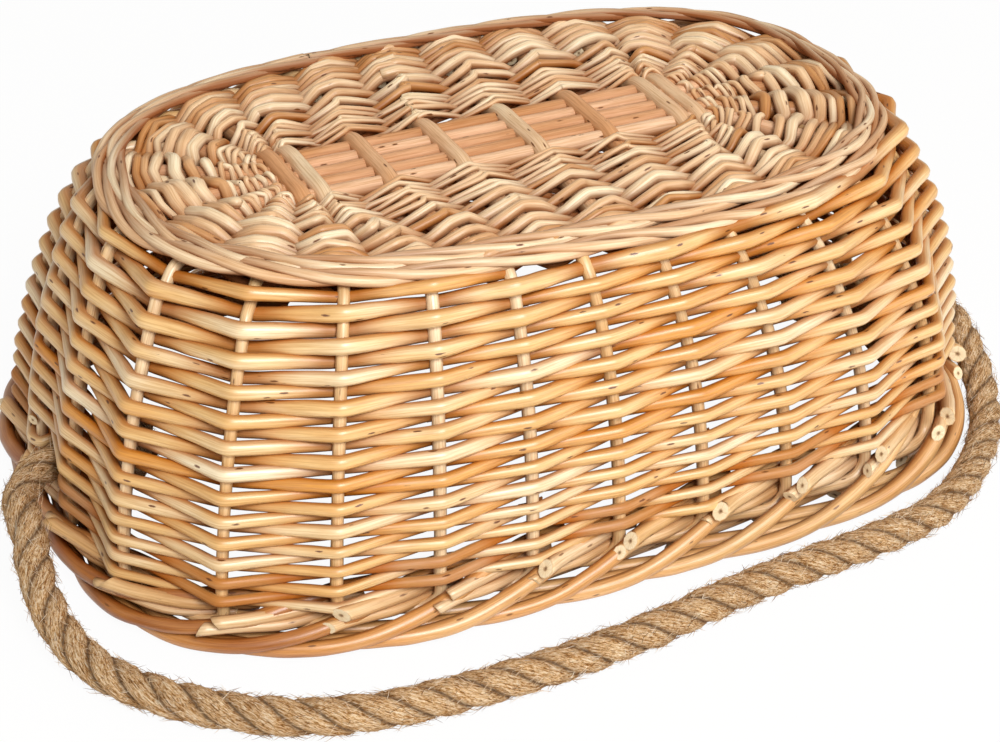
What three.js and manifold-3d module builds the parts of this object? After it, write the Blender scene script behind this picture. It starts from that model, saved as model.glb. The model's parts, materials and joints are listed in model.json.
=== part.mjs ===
// A harvest basket of peeled willow, standing mouth down as it is photographed, with a rope handle.
// Millimetres, +Z up. The origin is the middle of the rim, on the surface that the rim stands on.
// +X runs to the right-hand end of the basket, and -Y is the front, where the rope handle lies.

import * as THREE from 'three';
import Module from 'manifold-3d';
import { mergeVertices } from 'three/addons/utils/BufferGeometryUtils.js';

// Overall sizes
const height = 172.5;
const rimLength = 494;
const rimWidth = 333;
const rimSquareness = 3.6;
const baseLength = 400;
const baseWidth = 238;
const baseSquareness = 2.4;

const flarePower = 0.75;

// Rods and sticks
const clearance = 0.3;
const longStick = 8.2;
const crossStick = 9.6;
const stakeThickness = 6.4;
const weaverThickness = 5.6;
const baseRod = 4.7;

// The base: sticks laid lengthwise through slits in the sticks laid across
const longStickCount = 5;
const longStickPitch = 10;
const crossStickPlaces = [-115.2, -104.8, -70, -31, 11, 50, 91.8, 102.2];
const slitSlack = 1;
const slitTaper = 5;
const slitMargin = 8;
const slitCheek = 4.3;
const slathStep = 9;
const baseRowCount = 8;
const pairingRowCount = 3;
const edgeReach = 10;

// Where the stakes join the base
const buttInset = 15;
const stakeButtLength = 20;
const stickTrim = 3;
const bendRadius = 9;
const bendTrack = [[0.45, 0.07], [0.8, 0.44]];
const waleStep = 9.5;
const waleOut = 1.2;
const waleRise = 1;

// The side
const stakeLean = 14;
const frontDrift = 11.5;
const frontSkew = 8.5;
const stakeStopShares = [0.27, 0.52, 0.73, 0.88];
const topRowDrop = 4.2;
const lowestRowRise = 5.6;
const lowRowCount = 5;
const rowsPerWeaver = [2, 2, 2, 2, 2];
const rowTaper = 0.15;
const rowGap = 0.48;
const weaverTail = 9;
const lowTail = 5;
const weaverGap = 1;
const leanRoom = 2.9;
const turnRoom = 0.15;
const turnReach = 4.6;
const turnRise = 0.3;

// The border, rolled from the stakes' own ends
const borderReach = 12.9;
const borderTop = 20.2;

// The handle
const ropeDiameter = 18;
const ropeSides = 10;
const ropeStep = 20;
const ropeRoom = 3.5;
const knotLength = 42;
const knotDiameter = 48;
const knotSides = 12;
const knotPress = { right: 1.6, left: 2.1 };

const crossStickCount = crossStickPlaces.length;
const stakeCount = 2 * (longStickCount + crossStickCount);
const baseLevel = height - baseRod - clearance - crossStick / 2;
const bendStart = baseLevel - bendRadius;
const stakeStops = [0, borderTop];
for (const part of stakeStopShares) {
  stakeStops.push(borderTop + part * (bendStart - borderTop));
}
stakeStops.push(bendStart);

const rowTop = bendStart - topRowDrop;
const rowBottom = borderTop + lowestRowRise;

// The side's rows are counted from the lowest, and the upper ones are of thicker rods
const fullRowCount = 2 * rowsPerWeaver.reduce((sum, rows) => sum + rows);
const rowCount = lowRowCount + fullRowCount;
const meanPitch = (rowTop - rowBottom) / (rowCount - 1);
const rowShare = (row) => row / (rowCount - 1);
const rowLevel = (row) => (
  rowBottom + (rowTop - rowBottom) * rowShare(row) * (1 + rowTaper * (rowShare(row) - 1))
);
const rowPitch = (row) => meanPitch * (1 + rowTaper * (2 * rowShare(row) - 1));
const rowThickness = (row) => rowPitch(row) - rowGap;
const meanThickness = meanPitch - rowGap;
const holeTop = rowLevel(lowRowCount) - rowThickness(lowRowCount) / 2;
const handleHeight = holeTop - ropeRoom - ropeDiameter / 2;

const wood = (colour) => new THREE.MeshStandardMaterial({ color: colour, roughness: 0.55, metalness: 0 });
const longStickWood = wood(0xc79a78);
const crossStickWood = wood(0xc8ab7c);
const baseWood = wood(0xd8b98c);
const stakeWood = wood(0xdcb67c);
const weaverWood = wood(0xe0b670);
const jute = new THREE.MeshStandardMaterial({ color: 0x9c8468, roughness: 0.95, metalness: 0 });

const basket = new THREE.Group();
basket.name = 'basket';

function addPiece(name, geometry, material) {
  const piece = new THREE.Mesh(geometry, material);
  piece.name = name;
  basket.add(piece);
}

// Rods: a closed skin of rings round a path
// Each path point holds its place, a direction across the rod that its section keeps to, and
// how many times its thickness the rod is swollen that way, where it is.
const sharpestMitre = 0.5;
function rodGeometry(path, section) {
  const positions = [];
  const faces = [];
  const sides = section.length;
  path.forEach((point, index) => {
    const before = path[Math.max(index - 1, 0)].place;
    const after = path[Math.min(index + 1, path.length - 1)].place;
    const incoming = point.place.clone().sub(before);
    const outgoing = after.clone().sub(point.place);
    if (index === 0) incoming.copy(outgoing);
    if (index === path.length - 1) outgoing.copy(incoming);
    incoming.normalize();
    const along = incoming.clone().add(outgoing.normalize()).normalize();
    const across = point.across.clone().addScaledVector(along, -point.across.dot(along)).normalize();
    const third = along.clone().cross(across);
    const bend = incoming.clone().addScaledVector(along, -incoming.dot(along));
    const stretch = 1 / Math.max(incoming.dot(along), sharpestMitre) - 1;
    if (bend.length() > 1e-6) bend.normalize();
    for (const [a, b] of section) {
      const offset = across.clone().multiplyScalar(a * (point.swell ?? 1)).addScaledVector(third, b);
      offset.addScaledVector(bend, stretch * offset.dot(bend));
      positions.push(...point.place.clone().add(offset).toArray());
    }
  });
  for (let ring = 0; ring < path.length - 1; ring += 1) {
    for (let side = 0; side < sides; side += 1) {
      const next = (side + 1) % sides;
      const here = ring * sides;
      const there = here + sides;
      faces.push(here + side, here + next, there + next);
      faces.push(here + side, there + next, there + side);
    }
  }
  const last = (path.length - 1) * sides;
  for (let side = 1; side < sides - 1; side += 1) {
    faces.push(0, side + 1, side);
    faces.push(last, last + side, last + side + 1);
  }
  return indexedGeometry(positions, faces);
}

function indexedGeometry(positions, faces) {
  const geometry = new THREE.BufferGeometry();
  geometry.setAttribute('position', new THREE.Float32BufferAttribute(positions, 3));
  geometry.setIndex(faces);
  geometry.computeVertexNormals();
  return geometry;
}

// A closed ring has no ends: its last section is joined to its first
function ringGeometry(path, section) {
  const wrapped = [path[path.length - 1], ...path, path[0]];
  const open = rodGeometry(wrapped, section);
  const sides = section.length;
  const all = Array.from(open.getAttribute('position').array);
  const positions = all.slice(sides * 3, (path.length + 1) * sides * 3);
  const faces = [];
  for (let ring = 0; ring < path.length; ring += 1) {
    const here = ring * sides;
    const there = ((ring + 1) % path.length) * sides;
    for (let side = 0; side < sides; side += 1) {
      const next = (side + 1) % sides;
      faces.push(here + side, here + next, there + next);
      faces.push(here + side, there + next, there + side);
    }
  }
  return indexedGeometry(positions, faces);
}

// Sections, listed anticlockwise as seen along the rod from its end
function flatSection(across, third) {
  return [[across, -third], [across, third], [-across, third], [-across, -third]];
}

function sixSided(across, third) {
  const shoulder = 0.55;
  return [
    [across, -third * shoulder], [across, third * shoulder], [0, third],
    [-across, third * shoulder], [-across, -third * shoulder], [0, -third],
  ];
}

const up = new THREE.Vector3(0, 0, 1);
const down = new THREE.Vector3(0, 0, -1);
const levelPath = (places) => places.map((place) => ({ place, across: up }));
const rowPath = (places, row) => places.map((place) => (
  { place, across: up, swell: rowThickness(row) / meanThickness }
));

// Ovals: superellipses read by the share of their length, anticlockwise from +X
function oval(halfLength, halfWidth, squareness) {
  const steps = 1440;
  const points = [];
  const lengths = [0];
  for (let step = 0; step <= steps; step += 1) {
    const angle = (step / steps) * 2 * Math.PI;
    const cosine = Math.cos(angle);
    const sine = Math.sin(angle);
    const x = halfLength * Math.sign(cosine) * Math.abs(cosine) ** (2 / squareness);
    const y = halfWidth * Math.sign(sine) * Math.abs(sine) ** (2 / squareness);
    points.push(new THREE.Vector2(x, y));
    if (step > 0) lengths.push(lengths[step - 1] + points[step].distanceTo(points[step - 1]));
  }
  const total = lengths[steps];
  const at = (share) => {
    const wanted = (share - Math.floor(share)) * total;
    let low = 0;
    let high = steps;
    while (high - low > 1) {
      const middle = (low + high) >> 1;
      if (lengths[middle] <= wanted) low = middle;
      else high = middle;
    }
    const part = (wanted - lengths[low]) / (lengths[high] - lengths[low]);
    return points[low].clone().lerp(points[high], part);
  };
  return { at, total };
}

const rimLine = oval(rimLength / 2 - borderReach, rimWidth / 2 - borderReach, rimSquareness);
const baseLine = oval(baseLength / 2 - edgeReach, baseWidth / 2 - edgeReach, baseSquareness);

// How far the side has spread from the base's line to the rim's line, at a height over the rim.
// A stake is straight between its stops, so the side's surface is too.
const curve = (z) => (1 - (Math.max(z, 0) / height) ** 2) ** flarePower;
function flare(z) {
  const low = Math.max(0, stakeStops.findLastIndex((stop) => stop <= z));
  const high = Math.min(low + 1, stakeStops.length - 1);
  const start = high === low ? low - 1 : low;
  const [from, to] = [stakeStops[start], stakeStops[start + 1]];
  return curve(from) + ((curve(to) - curve(from)) * (z - from)) / (to - from);
}
const spread = rimLength / 2 - borderReach - (baseLength / 2 - edgeReach);
const slope = (z) => (spread * (flare(z - 1) - flare(z + 1))) / 2;

// A point on the stakes' surface, or beside it by out along the level normal
const aside = 0.002;
function sidePoint(share, z, out) {
  const lean = stakeLean / baseLine.total;
  const at = (where) => baseLine.at(where - lean).lerp(rimLine.at(where), flare(z));
  const tangent = at(share + aside).sub(at(share - aside)).normalize();
  const place = at(share);
  return new THREE.Vector3(place.x + tangent.y * out, place.y - tangent.x * out, z);
}

function sideTangent(share, z) {
  return sidePoint(share + aside, z, 0).sub(sidePoint(share - aside, z, 0)).normalize();
}

// Where a stake stands on the rim: even at the back, and as uneven as the photograph at the front
function stakeShare(index) {
  const even = (index + 0.5) / stakeCount;
  const turn = even - Math.floor(even);
  if (turn < 0.5) return even;
  const along = (turn - 0.5) * 2;
  const drift = frontDrift * Math.sin(2 * Math.PI * along) - frontSkew * Math.sin(Math.PI * along);
  return even + drift / rimLine.total;
}

// The base: where the stakes' butts end at its edge, and the middle where the sticks cross
const edgeLine = oval(baseLength / 2 - buttInset, baseWidth / 2 - buttInset, baseSquareness);
const slitHalf = ((longStickCount - 1) * longStickPitch + longStick) / 2 + slitSlack;
const slathHalfWidth = slitHalf + slitTaper + slitMargin;
const buttSpacing = (crossStick + stakeThickness) / 2 + 2 * clearance;

// Each stake has one stick end beside it: this gives where that stick leaves the crossed middle
const firstBackStake = (longStickCount + 1) / 2;
const firstLeftStake = firstBackStake + crossStickCount;
const firstFrontStake = firstLeftStake + longStickCount;
const firstRightStake = firstFrontStake + crossStickCount;
const seamStake = firstBackStake + crossStickCount / 2;
const longStickOffset = (index) => ((longStickCount - 1) / 2 - index) * longStickPitch;
const slathLeft = crossStickPlaces[0] - slathStep;
const slathRight = crossStickPlaces[crossStickCount - 1] + slathStep;

function stickOfStake(index) {
  if (index >= firstBackStake && index < firstLeftStake) {
    return { kind: 'cross', number: firstLeftStake - 1 - index, y: slathHalfWidth };
  }
  if (index >= firstLeftStake && index < firstFrontStake) {
    return { kind: 'long', number: index - firstLeftStake, x: slathLeft };
  }
  if (index >= firstFrontStake && index < firstRightStake) {
    return { kind: 'cross', number: index - firstFrontStake, y: -slathHalfWidth };
  }
  const number = index >= firstRightStake
    ? longStickCount - 1 - (index - firstRightStake)
    : firstBackStake - 1 - index;
  return { kind: 'long', number, x: slathRight };
}

const spokes = [];
for (let index = 0; index < stakeCount; index += 1) {
  const stick = stickOfStake(index);
  const inner = stick.kind === 'cross'
    ? new THREE.Vector2(crossStickPlaces[stick.number], stick.y)
    : new THREE.Vector2(stick.x, longStickOffset(stick.number));
  const edge = edgeLine.at(stakeShare(index) - stakeLean / baseLine.total);
  const run = edge.clone().sub(inner).normalize();
  const beside = new THREE.Vector2(-run.y, run.x);
  const outer = edge.clone().addScaledVector(beside, -buttSpacing);
  const direction = outer.clone().sub(inner).normalize();
  const side = new THREE.Vector2(-direction.y, direction.x);
  spokes.push({ stick, inner, outer, edge, direction, side });
}

const at = (plan, z) => new THREE.Vector3(plan.x, plan.y, z);

function spokeEnd(kind, number, isLow) {
  const ends = spokes.filter((spoke) => spoke.stick.kind === kind && spoke.stick.number === number);
  return ends.find((spoke) => (kind === 'cross' ? spoke.inner.y < 0 : spoke.inner.x < 0) === isLow);
}

const stickEnd = (spoke) => spoke.outer.clone().addScaledVector(spoke.direction, -stickTrim);

function longStickPiece(number) {
  const left = spokeEnd('long', number, true);
  const right = spokeEnd('long', number, false);
  const plans = [stickEnd(left), left.inner, right.inner, stickEnd(right)];
  const radius = longStick / 2;
  const path = levelPath(plans.map((plan) => at(plan, baseLevel)));
  return rodGeometry(path, sixSided(radius, radius));
}

const mergeDistance = 1e-4;
const wasm = await Module();
wasm.setup();

function toSolid(geometry) {
  const bare = geometry.clone();
  bare.deleteAttribute('normal');
  bare.deleteAttribute('uv');
  const merged = mergeVertices(bare, mergeDistance);
  const vertProperties = new Float32Array(merged.getAttribute('position').array);
  const triVerts = new Uint32Array(merged.getIndex().array);
  return new wasm.Manifold(new wasm.Mesh({ numProp: 3, vertProperties, triVerts }));
}

function fromSolid(solid) {
  const mesh = solid.getMesh();
  return indexedGeometry(Array.from(mesh.vertProperties), Array.from(mesh.triVerts));
}

// A cross stick swells where it is slit, and the long sticks pass through the slit
function crossStickPiece(number) {
  const front = spokeEnd('cross', number, true);
  const back = spokeEnd('cross', number, false);
  const x = crossStickPlaces[number];
  const radius = crossStick / 2;
  const slitHeight = longStick / 2 + clearance;
  const swell = (slitHeight + slitCheek) / radius;
  const shoulder = slitHalf + slitTaper + slitSlack;
  const stops = [
    stickEnd(front), front.inner, new THREE.Vector2(x, -shoulder), new THREE.Vector2(x, -slitHalf),
    new THREE.Vector2(x, slitHalf), new THREE.Vector2(x, shoulder), back.inner, stickEnd(back),
  ];
  const path = levelPath(stops.map((plan) => at(plan, baseLevel)));
  for (const point of path) {
    if (Math.abs(point.place.y) <= slitHalf) point.swell = swell;
  }
  const stick = toSolid(rodGeometry(path, sixSided(radius, radius)));
  const slitShape = new THREE.Shape([
    new THREE.Vector2(-slitHalf - slitTaper, 0), new THREE.Vector2(-slitHalf, -slitHeight),
    new THREE.Vector2(slitHalf, -slitHeight), new THREE.Vector2(slitHalf + slitTaper, 0),
    new THREE.Vector2(slitHalf, slitHeight), new THREE.Vector2(-slitHalf, slitHeight),
  ]);
  const slit = new THREE.ExtrudeGeometry(slitShape, { depth: 2 * crossStick, bevelEnabled: false });
  slit.translate(0, 0, -crossStick);
  slit.rotateX(Math.PI / 2);
  slit.rotateZ(Math.PI / 2);
  slit.translate(x, 0, baseLevel);
  return fromSolid(stick.subtract(toSolid(slit)));
}

for (let number = 0; number < longStickCount; number += 1) {
  addPiece(`base_long_stick_${number + 1}`, longStickPiece(number), longStickWood);
}
for (let number = 0; number < crossStickCount; number += 1) {
  addPiece(`base_cross_stick_${number + 1}`, crossStickPiece(number), crossStickWood);
}

// The fine rounds next to the crossed sticks: one strand coiled over them and one under
const baseRowAt = (row) => (row + 0.5) / baseRowCount;
const layerRise = crossStick / 2 + clearance + baseRod / 2;

function pairingPiece(side) {
  const path = [];
  for (let row = 0; row < pairingRowCount; row += 1) {
    for (let step = 0; step < stakeCount; step += 1) {
      const spoke = spokes[(seamStake + step) % stakeCount];
      const plan = spoke.inner.clone().lerp(spoke.outer, baseRowAt(row));
      path.push(at(plan, baseLevel + side * layerRise));
    }
  }
  return rodGeometry(levelPath(path), flatSection(baseRod / 2, baseRod / 2));
}

addPiece('base_pairing_upper', pairingPiece(1), baseWood);
addPiece('base_pairing_lower', pairingPiece(-1), baseWood);

// The outer rounds of the base, two strands chasing each other over and under the stick ends
function baseWeaverPiece(firstRow) {
  const path = [];
  for (let row = firstRow; row < baseRowCount; row += 2) {
    const part = baseRowAt(row);
    const places = spokes.map((spoke) => spoke.inner.clone().lerp(spoke.outer, part));
    for (let step = 0; step < stakeCount; step += 1) {
      const index = (seamStake + step) % stakeCount;
      const spoke = spokes[index];
      const place = places[index];
      const before = places[(index + stakeCount - 1) % stakeCount];
      const run = places[(index + 1) % stakeCount].clone().sub(before).normalize();
      run.divideScalar(run.dot(spoke.side));
      const overStake = spoke.outer.distanceTo(place) < stakeButtLength + (baseRod + stakeThickness) / 2;
      const side = (index + row) % 2 === 0 ? 1 : -1;
      const near = place.clone().addScaledVector(run, -crossStick / 2 - clearance);
      const farReach = clearance + (overStake ? buttSpacing + stakeThickness / 2 : crossStick / 2);
      const far = place.clone().addScaledVector(run, farReach);
      path.push(at(near, baseLevel + side * layerRise), at(far, baseLevel + side * layerRise));
    }
  }
  path.shift();
  path.pop();
  return rodGeometry(levelPath(path), flatSection(baseRod / 2, baseRod / 2));
}

addPiece('base_weaver_1', baseWeaverPiece(pairingRowCount), baseWood);
addPiece('base_weaver_2', baseWeaverPiece(pairingRowCount + 1), baseWood);

// The wale round the base's edge, two rods lying on the stakes where they turn down
function walePiece(place) {
  const places = [];
  for (let step = 0; step < 2 * stakeCount; step += 1) {
    places.push(place(step / (2 * stakeCount)));
  }
  return ringGeometry(levelPath(places), flatSection(baseRod / 2, baseRod / 2));
}

const upperWale = (share) => at(edgeLine.at(share), 0)
  .add(sidePoint(share, bendStart, 0).sub(at(edgeLine.at(share), 0)).setZ(0).setLength(waleStep))
  .setZ(baseLevel + stakeThickness / 2 + clearance + baseRod / 2);
const lowerWale = (share) => sidePoint(share, bendStart, waleOut).setZ(baseLevel + waleRise);
addPiece('edge_wale_upper', walePiece(upperWale), baseWood);
addPiece('edge_wale_lower', walePiece(lowerWale), baseWood);

// A stake: its butt beside a stick end, down the side, and along the rim into the border
// The border's track, in shares of a stake's spacing: how far out, and how high
const borderFloor = stakeThickness / 2;
const borderTrack = [
  [0, 0, borderTop], [0.5, -3.2, 18.9], [1, -8.2, 15.7], [1.5, -1.8, 9.9], [2, 6, 12.4],
  [2.5, 10, 9.6], [3, 9.8, 4.2], [3.5, 5.2, borderFloor], [4, 1.4, borderFloor],
  [4.5, -2.4, borderFloor], [5, -6.4, borderFloor],
];

function stakePiece(index) {
  const spoke = spokes[index];
  const share = stakeShare(index);
  const path = [];
  const tangent = sideTangent(share, bendStart);
  const crossRun = new THREE.Vector3(spoke.side.x, spoke.side.y, 0);
  const butt = spoke.edge.clone().addScaledVector(spoke.direction, -stakeButtLength);
  path.push({ place: at(butt, baseLevel), across: crossRun });
  path.push({ place: at(spoke.edge, baseLevel), across: crossRun });
  for (const [part, fall] of bendTrack) {
    const turn = at(spoke.edge, 0).lerp(sidePoint(share, bendStart, 0), part);
    path.push({ place: turn.setZ(baseLevel - bendRadius * fall), across: tangent });
  }
  for (const z of stakeStops.slice(2).reverse()) {
    path.push({ place: sidePoint(share, z, 0), across: sideTangent(share, z) });
  }
  for (const [step, out, z] of borderTrack) {
    const here = stakeShare(index - step);
    const across = step === 0 ? down.clone().add(sideTangent(here, z)) : down;
    path.push({ place: sidePoint(here, z, out), across });
  }
  return rodGeometry(path, sixSided(stakeThickness / 2, stakeThickness / 2));
}

for (let index = 0; index < stakeCount; index += 1) {
  addPiece(`stake_${String(index + 1).padStart(2, '0')}`, stakePiece(index), stakeWood);
}

// The side's weave
const weaverSection = flatSection(meanThickness / 2, weaverThickness / 2);

// How far a weaver stands off the stakes' line, more where the stake leans
function crossing(index, row) {
  const z = rowLevel(row);
  const side = (index + row) % 2 === 0 ? 1 : -1;
  const lean = Math.abs(slope(z));
  const here = sidePoint(stakeShare(index), z, 0);
  const normal = sidePoint(stakeShare(index), z, 1).sub(here);
  const swing = stakeThickness + weaverThickness + 2 * weaverGap;
  const turns = [index - 1, index + 1].map((other) => {
    const away = here.clone().sub(sidePoint(stakeShare(other), z, 0));
    return (side * away.dot(normal) + swing) / away.length();
  });
  const turn = Math.max(...turns, 0);
  const stakeHalf = (stakeThickness / 2) * (Math.hypot(1, lean) + Math.max(0, turn - turnRoom));
  const rowHalf = rowThickness(row) / 2 + leanRoom;
  const weaverHalf = (weaverThickness / 2) * Math.hypot(1, turn) + rowHalf * lean;
  return sidePoint(stakeShare(index), z, side * (stakeHalf + weaverGap + weaverHalf));
}

// A path with a straight tail added at each end
function withTails(path, tail) {
  const beyond = (end, inner) => (
    { ...end, place: end.place.clone().addScaledVector(end.place.clone().sub(inner.place).normalize(), tail) }
  );
  const last = path.length - 1;
  return [beyond(path[0], path[1]), ...path, beyond(path[last], path[last - 1])];
}

function sideWeaverPiece(firstRow, turns) {
  const path = [];
  for (let turn = 0; turn < turns; turn += 1) {
    const row = firstRow + 2 * turn;
    const places = [];
    for (let step = 0; step < stakeCount; step += 1) {
      places.push(crossing(seamStake + step, row));
    }
    path.push(...rowPath(places, row));
  }
  return rodGeometry(withTails(path, weaverTail), weaverSection);
}

let weaverNumber = 1;
let nextRow = lowRowCount;
for (const turns of rowsPerWeaver) {
  for (const strand of [0, 1]) {
    const name = `side_weaver_${String(weaverNumber).padStart(2, '0')}`;
    addPiece(name, sideWeaverPiece(nextRow + strand, turns), weaverWood);
    weaverNumber += 1;
  }
  nextRow += 2 * turns;
}

// The lowest rows turn back round the stakes beside the handle's holes
function lowWeaverPiece(firstStake) {
  const lastStake = firstStake + stakeCount / 2 - 1;
  const path = [];
  for (let row = 0; row < lowRowCount; row += 1) {
    const places = [];
    for (let step = 0; step < stakeCount / 2; step += 1) {
      const index = row % 2 === 0 ? firstStake + step : lastStake - step;
      places.push(crossing(index, row));
    }
    path.push(...rowPath(places, row));
    if (row === lowRowCount - 1) break;
    const turning = row % 2 === 0 ? lastStake : firstStake;
    const away = row % 2 === 0 ? 1 : -1;
    const beyond = (stakeThickness / 2 + 2 * clearance + weaverThickness / 2) / rimLine.total;
    const place = stakeShare(turning) + away * beyond;
    const side = (turning + row) % 2 === 0 ? 1 : -1;
    const rise = rowLevel(row + 1) - rowLevel(row);
    const low = sidePoint(place, rowLevel(row) + rise * turnRise, side * turnReach);
    const high = sidePoint(place, rowLevel(row) + rise * (1 - turnRise), -side * turnReach);
    path.push(...rowPath([low], row), ...rowPath([high], row + 1));
  }
  return rodGeometry(withTails(path, lowTail), weaverSection);
}

addPiece('low_weaver_back', lowWeaverPiece(0), weaverWood);
addPiece('low_weaver_front', lowWeaverPiece(stakeCount / 2), weaverWood);

// The handle: a rope whose ends pass in through the ends of the basket and stop in knots
// Its route, right-hand end first, lies on the floor round the front as the photograph shows it.
const holeWall = sidePoint(0, handleHeight, 0).x - stakeThickness / 2 - weaverGap - weaverThickness;
const knotFaces = { right: holeWall + knotPress.right, left: holeWall + knotPress.left };
const turnStart = 227.3;
const turnRadius = 36.5;
const turnDrop = 2.4;
const turnStops = [0, 15, 30, 45, 60, 75, 88];
const ropeFloor = ropeDiameter / 2;
const ropeRun = [
  [262.5, -53, 29], [259.5, -71, 24.5], [254, -90, 18.5], [245, -110, 12.5], [231, -131, 9.5],
  [213, -149, ropeFloor], [190, -167, ropeFloor], [164, -181, ropeFloor], [136, -188, ropeFloor],
  [104, -192, ropeFloor], [66, -195, ropeFloor], [28, -199.5, ropeFloor], [-10, -206, ropeFloor],
  [-48, -210.5, ropeFloor], [-88, -212, ropeFloor], [-126, -211, ropeFloor], [-162, -206.5, ropeFloor],
  [-194, -195, ropeFloor], [-220, -178, ropeFloor], [-241, -158, ropeFloor], [-257, -135, 9.3],
  [-265.5, -113, 12], [-269, -92, 17], [-268.5, -72, 23], [-265.5, -54, 28.5],
].map(([x, y, z]) => new THREE.Vector3(x, y, z));

// Each end leaves its hole along X and makes a quarter turn to the front
function ropeTurn(side) {
  const points = [];
  for (const degrees of turnStops) {
    const angle = THREE.MathUtils.degToRad(degrees);
    const x = turnStart + turnRadius * Math.sin(angle);
    const drop = handleHeight - turnDrop * Math.sin(angle) ** 2;
    points.push(new THREE.Vector3(side * x, turnRadius * (Math.cos(angle) - 1), drop));
  }
  return points;
}

function handlePiece() {
  const points = [...ropeTurn(1), ...ropeRun, ...ropeTurn(-1).reverse()];
  const route = new THREE.CatmullRomCurve3(points, false, 'centripetal');
  const places = route.getSpacedPoints(Math.round(route.getLength() / ropeStep));
  places.unshift(new THREE.Vector3(knotFaces.right + clearance, 0, handleHeight));
  places.push(new THREE.Vector3(-knotFaces.left - clearance, 0, handleHeight));
  const section = [];
  for (let side = 0; side < ropeSides; side += 1) {
    const angle = ((side + 0.5) / ropeSides) * 2 * Math.PI;
    section.push([(ropeDiameter / 2) * Math.cos(angle), (ropeDiameter / 2) * Math.sin(angle)]);
  }
  return rodGeometry(levelPath(places), section);
}

// A knot's outline from the wall inward: its radius and its place along, as shares of the knot
const knotOutline = [[0, 0], [0.66, 0], [0.94, 0.2], [1, 0.48], [0.9, 0.76], [0.55, 1], [0, 1]];

function knotPiece(side, face) {
  const outline = knotOutline.map(([radius, along]) => (
    new THREE.Vector2(radius * (knotDiameter / 2), along * knotLength)
  ));
  const knot = new THREE.LatheGeometry(outline, knotSides);
  knot.rotateZ((side * Math.PI) / 2);
  knot.translate(side * face, 0, handleHeight);
  return knot;
}

addPiece('rope_handle', handlePiece(), jute);
addPiece('rope_knot_right', knotPiece(1, knotFaces.right), jute);
addPiece('rope_knot_left', knotPiece(-1, knotFaces.left), jute);

export default basket;
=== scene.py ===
"""The looks of the harvest basket: peeled willow rods and a laid jute rope.

Sizes are worked out in millimetres and turned into metres where a mesh is made.
"""

import json
import math

import bpy
import numpy as np
from mathutils import Matrix


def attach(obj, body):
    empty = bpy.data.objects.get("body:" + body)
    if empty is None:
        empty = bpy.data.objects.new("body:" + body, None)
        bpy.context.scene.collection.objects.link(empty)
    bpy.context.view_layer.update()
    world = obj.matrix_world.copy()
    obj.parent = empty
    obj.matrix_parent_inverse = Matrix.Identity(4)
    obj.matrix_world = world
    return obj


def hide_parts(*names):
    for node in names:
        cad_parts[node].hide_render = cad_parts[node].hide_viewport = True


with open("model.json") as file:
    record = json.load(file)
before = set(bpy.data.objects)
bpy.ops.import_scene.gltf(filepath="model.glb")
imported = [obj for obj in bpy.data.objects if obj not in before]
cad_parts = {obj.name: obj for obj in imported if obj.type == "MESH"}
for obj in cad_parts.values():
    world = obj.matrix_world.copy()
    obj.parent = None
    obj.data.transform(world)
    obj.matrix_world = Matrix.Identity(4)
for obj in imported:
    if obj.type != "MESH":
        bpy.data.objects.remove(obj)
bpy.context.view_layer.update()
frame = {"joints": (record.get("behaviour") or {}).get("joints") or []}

MM = 0.001

# The photograph's camera: its lens, its angles in degrees, what it looks at and from how far
PHOTO_WIDTH, SENSOR_WIDTH, FOCAL_PIXELS = 1000, 36, 2161.5
CAMERA_ANGLES = (-27.78, 32.10, 2.63)
CAMERA_TARGET, CAMERA_DISTANCE = (1.25, -8.59, 30.74), 1145.15

# The floor, in metres, and how white the camera sees it
FLOOR_HALF, FLOOR_WHITENESS = 3.0, 0.955

# The lamps in metres and watts: place, size, power
LAMPS = {"key": ((-0.2, -1.4, 1.35), 0.8, 28), "fill": ((1.3, -0.9, 1.1), 1.3, 8)}
LAMP_TARGET = (0, 0, 0.08)
WORLD_COLOUR, WORLD_LIGHT = (1, 0.95, 0.88, 1), 0.42
WHITE = {"Color": (1, 1, 1, 1), "Strength": 1.0}

# How far the side stands outside the solids, then the basket's lean along its length: its slope, the
# height where it starts, and how much higher it is whole
SPREAD = 3.2
TILT, TILT_FROM, TILT_FADE = 0.019, 8, 24

# The basket's measures, as in the part's source
HEIGHT = 172.5
RIM_LENGTH, RIM_WIDTH, RIM_SQUARENESS = 494, 333, 3.6
BASE_LENGTH, BASE_WIDTH, BASE_SQUARENESS = 400, 238, 2.4
FLARE_POWER = 0.75
LONG_STICK, CROSS_STICK, STAKE, BASE_ROD = 8.2, 9.6, 6.4, 4.7
CLEARANCE = 0.3
LONG_STICKS, LONG_PITCH = 5, 10
CROSS_PLACES = [-115.2, -104.8, -70, -31, 11, 50, 91.8, 102.2]
SLIT_SLACK, SLIT_TAPER, SLIT_MARGIN, SLATH_STEP = 1, 5, 8, 9
EDGE_REACH, BUTT_INSET, BUTT_LENGTH, STICK_TRIM = 10, 15, 20, 3
BEND_RADIUS = 9
BASE_ROWS, FINE_ROWS = 8, 3
STAKE_LEAN = 14
FRONT_DRIFT, FRONT_SKEW = 11.5, 8.5
LOW_ROWS, ROWS = 5, 25
ROW_BOTTOM, ROW_TAPER = 25.8, 0.15
BORDER_REACH = 12.9
ROPE, KNOT_LENGTH = 18, 42

# The height of the handle's joint, and how far out its knots reach to the right and to the left
HANDLE_HEIGHT = frame["joints"][0]["pos_m"][2] / MM
KNOT_FACES = {1: 224.2, -1: 224.7}

STAKES = 2 * (LONG_STICKS + len(CROSS_PLACES))
BASE_LEVEL = HEIGHT - BASE_ROD - CLEARANCE - CROSS_STICK / 2
BEND_START = BASE_LEVEL - BEND_RADIUS
ROW_TOP = BEND_START


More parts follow.
